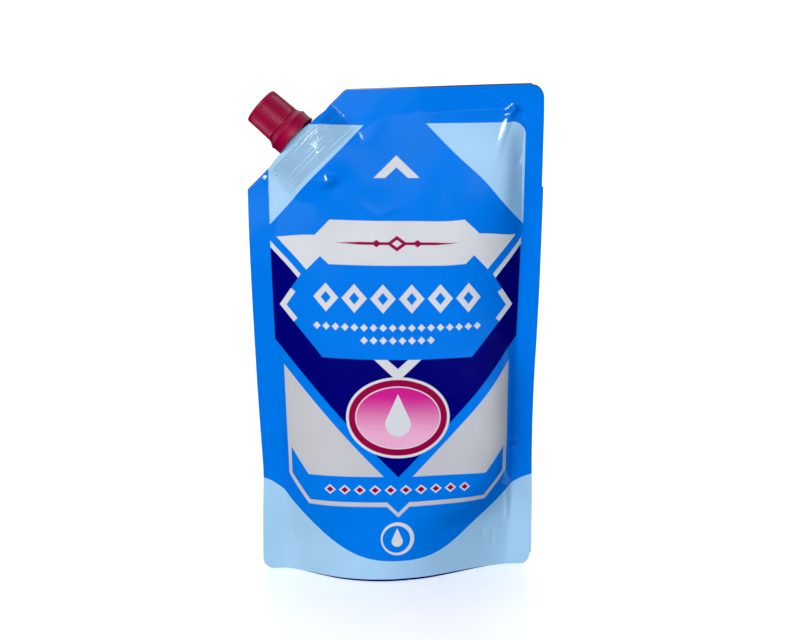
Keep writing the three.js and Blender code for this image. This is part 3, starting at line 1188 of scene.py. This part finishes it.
# spout group: made upright on Z in millimetres, then set on the cut corner
spoutFoot = Vector((spoutCorner["s"] + film["shift"], leanBack(0)[0], spoutCorner["t"])) * mm
spoutTurn = -cutTurn - math.radians(spoutCorner["turn"])
spoutPlace = Matrix.Translation(spoutFoot) @ Matrix.Rotation(spoutTurn, 4, "Y")
spoutPlace = spoutPlace @ Matrix.Rotation(-cutLean, 4, "X") @ Matrix.Scale(mm, 4)


def finishOnSpout(name, bm, node, material, sharpDeg):
    bmesh.ops.transform(bm, matrix=spoutPlace, verts=bm.verts[:])
    finishPiece(name, bm, node, [material], sharpDeg)


def spun(bm, profile, steps):
    ring = [bm.verts.new((r, 0, z)) for r, z in profile]
    edges = [bm.edges.new(pair) for pair in zip(ring, ring[1:])]
    turn = 2 * math.pi
    bmesh.ops.spin(
        bm, geom=ring + edges, cent=(0, 0, 0), axis=(0, 0, 1), angle=turn, steps=steps, use_merge=True)
    bmesh.ops.remove_doubles(bm, verts=bm.verts[:], dist=1e-5)
    bmesh.ops.recalc_face_normals(bm, faces=bm.faces[:])


def arcPoints(cx, cz, radius, start, end, count):
    turns = [math.radians(mixed(start, end, i / count)) for i in range(count + 1)]
    return [(cx + radius * math.cos(a), cz + radius * math.sin(a)) for a in turns]


cap = {
    "base": 8.5,
    "top": 22.0,
    "dome": 0.4,
    "domeSteps": (0.8, 0.55, 0.3, 0.0),
    "radius": 8.55,
    "draft": 0.35,
    "rim": 0.8,
    "rimSteps": 7,
    "ribs": 40,
    "ribDepth": 0.42,
    "ribShape": (0.16, 0.36),
    "ribFrom": 8.9,
    "ribTo": 21.0,
    "ribRunIn": 0.4,
    "ribRunOut": 0.45,
    "endRows": (0.0, 0.25, 0.5),
    "wallRows": (10.5, 12.5, 14.5, 16.5, 18.5),
    "perRib": 8,
}


def makeCap():
    bm = bmesh.new()
    base, crown, radius, rim = cap["base"], cap["top"], cap["radius"], cap["rim"]
    foot = radius + cap["draft"]
    ribFrom, ribTo = cap["ribFrom"], cap["ribTo"]
    profile = [(0.0, base + 0.4), (radius - 1.4, base + 0.4), (radius - 1.2, base)]
    profile += [(foot - 0.15, base), (foot, base + 0.15)]
    rows = [ribFrom + row for row in cap["endRows"]] + list(cap["wallRows"])
    rows += [ribTo - cap["endRows"][-1] + row for row in cap["endRows"]]
    for z in rows:
        profile.append((radius + cap["draft"] * (1 - (z - base) / (crown - base)), z))
    profile += arcPoints(radius - rim, crown - rim, rim, 0, 90, cap["rimSteps"])
    profile += [((radius - rim) * k, crown + cap["dome"] * (1 - k * k)) for k in cap["domeSteps"]]
    spun(bm, profile, cap["ribs"] * cap["perRib"])
    for v in bm.verts:
        reach = math.hypot(v.co.x, v.co.y)
        if reach < radius - 0.5 or not ribFrom - 0.01 < v.co.z < ribTo + 0.01:
            continue
        share = (math.atan2(v.co.y, v.co.x) / (2 * math.pi) * cap["ribs"]) % 1.0
        groove = smooth(abs(share - 0.5), *cap["ribShape"])
        fade = between(v.co.z, (ribFrom, ribFrom + cap["ribRunIn"]), (ribTo - cap["ribRunOut"], ribTo))
        scale = 1 - cap["ribDepth"] * groove * fade / reach
        v.co.x *= scale
        v.co.y *= scale
    finishOnSpout("screwCap", bm, "cap", capPlastic, 40)


band = {
    "base": 0.9,
    "ledge": 5.3,
    "top": 8.2,
    "radius": 10.5,
    "lowRadius": 10.2,
    "slope": (9.75, 9.3),
    "shoulder": 8.95,
    "bore": 6.7,
    "steps": 128,
    "bridges": 8,
    "bridgeSize": (0.7, 1.0, 0.9),
    "bridgeBevel": 0.12,
    "bridgeTurn": 0.3,
}


def makeBand():
    bm = bmesh.new()
    low, ledge, top = band["base"], band["ledge"], band["top"]
    r, lowR, bore, shoulder = band["radius"], band["lowRadius"], band["bore"], band["shoulder"]
    profile = [(bore, low + 0.3), (bore + 0.3, low), (lowR + 0.1, low), (lowR + 0.25, low + 0.15)]
    profile += [(lowR + 0.25, low + 0.55), (lowR, low + 0.75), (lowR, ledge - 0.2)]
    profile += [(lowR + 0.08, ledge - 0.06), (r - 0.08, ledge), (r, ledge + 0.1), (r, ledge + 0.35)]
    profile += [(r - 0.1, ledge + 0.5)]
    profile += [(band["slope"][0], top - 1.35), (band["slope"][1], top - 0.75), (shoulder + 0.1, top - 0.12)]
    profile += [(shoulder, top), (bore + 0.2, top), (bore, top - 0.2), (bore, low + 0.3)]
    spun(bm, profile, band["steps"])
    for i in range(band["bridges"]):
        # thin bridges that tear when the cap is first turned
        tab = bmesh.ops.create_cube(bm, size=1.0)["verts"]
        bmesh.ops.scale(bm, vec=band["bridgeSize"], verts=tab)
        edges = list({e for v in tab for e in v.link_edges})
        tab = bmesh.ops.bevel(
            bm, geom=edges, offset=band["bridgeBevel"], segments=2, profile=0.5, affect="EDGES", material=-1)
        turn = Matrix.Rotation(2 * math.pi * (i + band["bridgeTurn"]) / band["bridges"], 4, "Z")
        place = turn @ Matrix.Translation((shoulder - 0.25, 0, top + 0.1))
        bmesh.ops.transform(bm, matrix=place, verts=tab["verts"])
    finishOnSpout("tamperBand", bm, "tamper_band", capPlastic, 35)


foot = {
    "length": 19.0,
    "width": 4.2,
    "top": -3.4,
    "bottom": -11.0,
    "segments": 64,
    "neck": 6.0,
    "stem": 3.9,
    # rise and width of each step up the foot, which is grooved for the weld
    "steps": (
        (0.9, 1.0), (0.25, 0.94), (1.5, 0.94), (0.25, 1.0), (1.0, 1.0),
        (0.25, 0.94), (1.5, 0.94), (0.25, 1.0), (1.7, 1.0),
    ),
}


def makeSpout():
    bm = bmesh.new()
    made = bmesh.ops.create_circle(bm, cap_ends=True, radius=1.0, segments=foot["segments"])["verts"]
    for v in made:
        k = v.co.x
        v.co.x *= foot["length"]
        v.co.y = math.copysign(foot["width"] * (1 - k * k), v.co.y) if abs(v.co.y) > 1e-4 else 0.0
        v.co.z = foot["bottom"]
    faces = bm.faces[:]
    size = 1.0
    for rise, scale in foot["steps"]:
        grown = bmesh.ops.extrude_face_region(bm, geom=faces)["geom"]
        verts = [g for g in grown if isinstance(g, bmesh.types.BMVert)]
        faces = [g for g in grown if isinstance(g, bmesh.types.BMFace)]
        bmesh.ops.translate(bm, verts=verts, vec=(0, 0, rise))
        bmesh.ops.scale(bm, verts=verts, vec=(1.0, scale / size, 1.0))
        size = scale
    bmesh.ops.recalc_face_normals(bm, faces=bm.faces[:])
    stem = bmesh.new()
    slim, wide, low, high = foot["stem"], foot["neck"], foot["top"] - 1.0, band["top"]
    profile = [(0.0, low), (slim, low), (slim, 1.2), (slim + 0.4, 1.6), (wide - 0.3, 1.7), (wide, 2.0)]
    profile += [(wide, high - 0.2), (wide - 0.2, high), (0.0, high)]
    spun(stem, profile, foot["segments"])
    part = meshFrom("stem", stem)
    bm.from_mesh(part)
    bpy.data.meshes.remove(part)
    finishOnSpout("spoutFoot", bm, "spout", spoutPlastic, 35)


makeCap()
makeBand()
makeSpout()

# studio: pale floor, bright backdrop, soft lights

studio = {
    "floor": 10.0,
    "floorColour": (0.94, 0.945, 0.955, 1),
    "floorRough": 0.28,
    "floorGlow": 0.36,
    "backdrop": 1.2,
    "dim": 0.05,
    # lamps: place, target, size, power
    "left": ((-1.15, -1.3, 0.44), (0, 0, 0.1), (1.3, 0.8), 22.5),
    "front": ((0.15, -1.7, 0.56), (0, 0, 0.1), (1.0, 0.6), 12.5),
    "right": ((1.1, -0.9, 0.04), (0, 0, 0.06), (0.8, 0.3), 6.5),  # low and cool, like light off a table
    "rightColour": (0.55, 0.8, 1.0),
    "overhead": ((-0.1, -0.6, 2.3), (0, 0, 0), (2.6, 2.6), 2.0),
    "sparkle": ((-0.65, -1.3, 1.1), (0, 0, 0.1), (0.6, 0.6), 34.0),
}


def softBox(name, place, target, size, power):
    light = bpy.data.lights.new(name, "AREA")
    light.shape = "RECTANGLE"
    light.size, light.size_y = size
    light.energy = power
    lamp = addObject(name, light)
    aim(lamp, place, target)
    return lamp


def makeStudio():
    bm = bmesh.new()
    bmesh.ops.create_grid(bm, x_segments=8, y_segments=8, size=studio["floor"] / 2)
    floor = addObject("floor", meshFrom("floor", bm))
    material, _, shader = newMaterial("paleFloor")
    feedAll(shader, {
        "Base Color": studio["floorColour"],
        "Roughness": studio["floorRough"],
        "Emission Color": (1, 1, 1, 1),
        "Emission Strength": studio["floorGlow"],
    })
    floor.data.materials.append(material)
    floor.visible_glossy = False  # the film shows clear colours, with no white veil
    floor.visible_diffuse = False

    world = bpy.data.worlds.new("studio")
    scene.world = world
    world.use_nodes = True
    tree = world.node_tree
    coord = tree.nodes.new("ShaderNodeTexCoord")
    _, y, z = splitXYZ(coord.outputs["Generated"])
    glow = ramp(y, -0.1, 0.4, studio["dim"], studio["backdrop"])
    glow = times(glow, ramp(z, -0.2, -0.1))  # nothing shines from under the floor
    feedAll(tree.nodes["Background"], {"Color": (1, 1, 1, 1), "Strength": glow})

    # wide lamps light the colours, and are kept out of the gloss so that no white veil lies on the film
    for name in ("left", "front", "right", "overhead"):
        lamp = softBox(name, *studio[name])
        lamp.visible_glossy = False
        if name == "right":
            lamp.data.color = studio["rightColour"]
    # a small lamp for the glints on the folds
    softBox("sparkle", *studio["sparkle"]).visible_diffuse = False
    print("studio lit")


makeStudio()

lens = {
    "place": (-0.07277, -1.39763, 0.51635),
    "target": (0.00146, 0.0, 0.115),
    "focal": 148.6,
    "sensor": 36.0,
}

camera = addObject("camera", bpy.data.cameras.new("camera"))
aim(camera, lens["place"], lens["target"])
camera.data.lens = lens["focal"]
camera.data.sensor_width = lens["sensor"]
camera.data.clip_start = 0.01
scene.camera = camera
scene.view_settings.view_transform = "Standard"
print("camera set")
